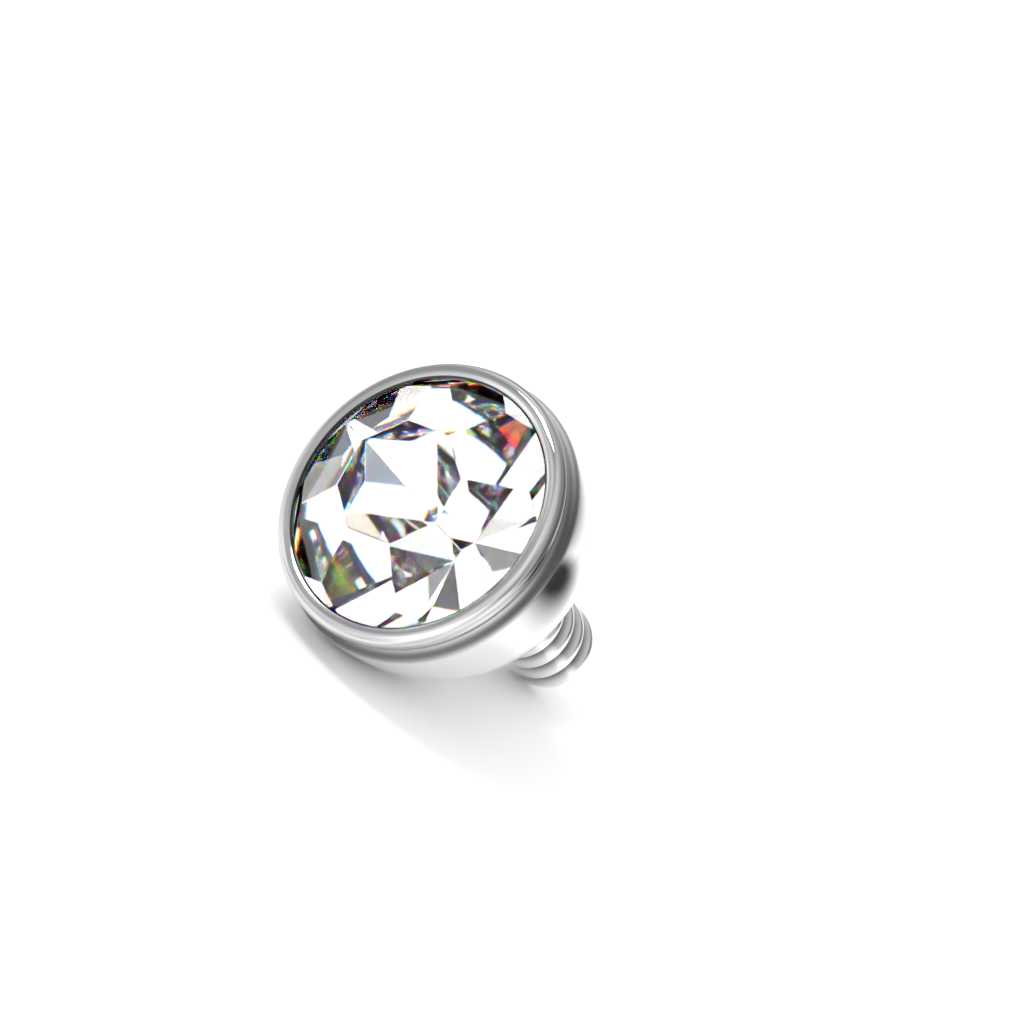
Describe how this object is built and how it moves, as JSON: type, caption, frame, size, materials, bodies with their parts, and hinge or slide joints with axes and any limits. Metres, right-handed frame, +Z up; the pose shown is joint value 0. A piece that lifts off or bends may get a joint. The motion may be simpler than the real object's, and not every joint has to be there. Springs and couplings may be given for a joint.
{
  "type": "gem top",
  "caption": "Ball-shaped bezel cup with a clear faceted round stone and a short threaded post, the screw-on top of a piercing barbell",
  "frame": {"origin": "on the floor under the middle of the whole, where it lies on its side with the ball and the post's tip touching the floor", "axes": "+Z up; +Y from the stone towards the post's tip, level with the floor; the stone faces -Y and a little up"},
  "size_m": [0.0048, 0.0064, 0.0048],
  "materials": {
    "polished_steel": "mirror polish, silver-white",
    "clear_stone": "clear faceted crystal, foil-bright from the front"
  },
  "bodies": {
    "root": {"bezel_setting": "polished_steel", "gem_stone": "clear_stone"}
  },
  "joints": []
}
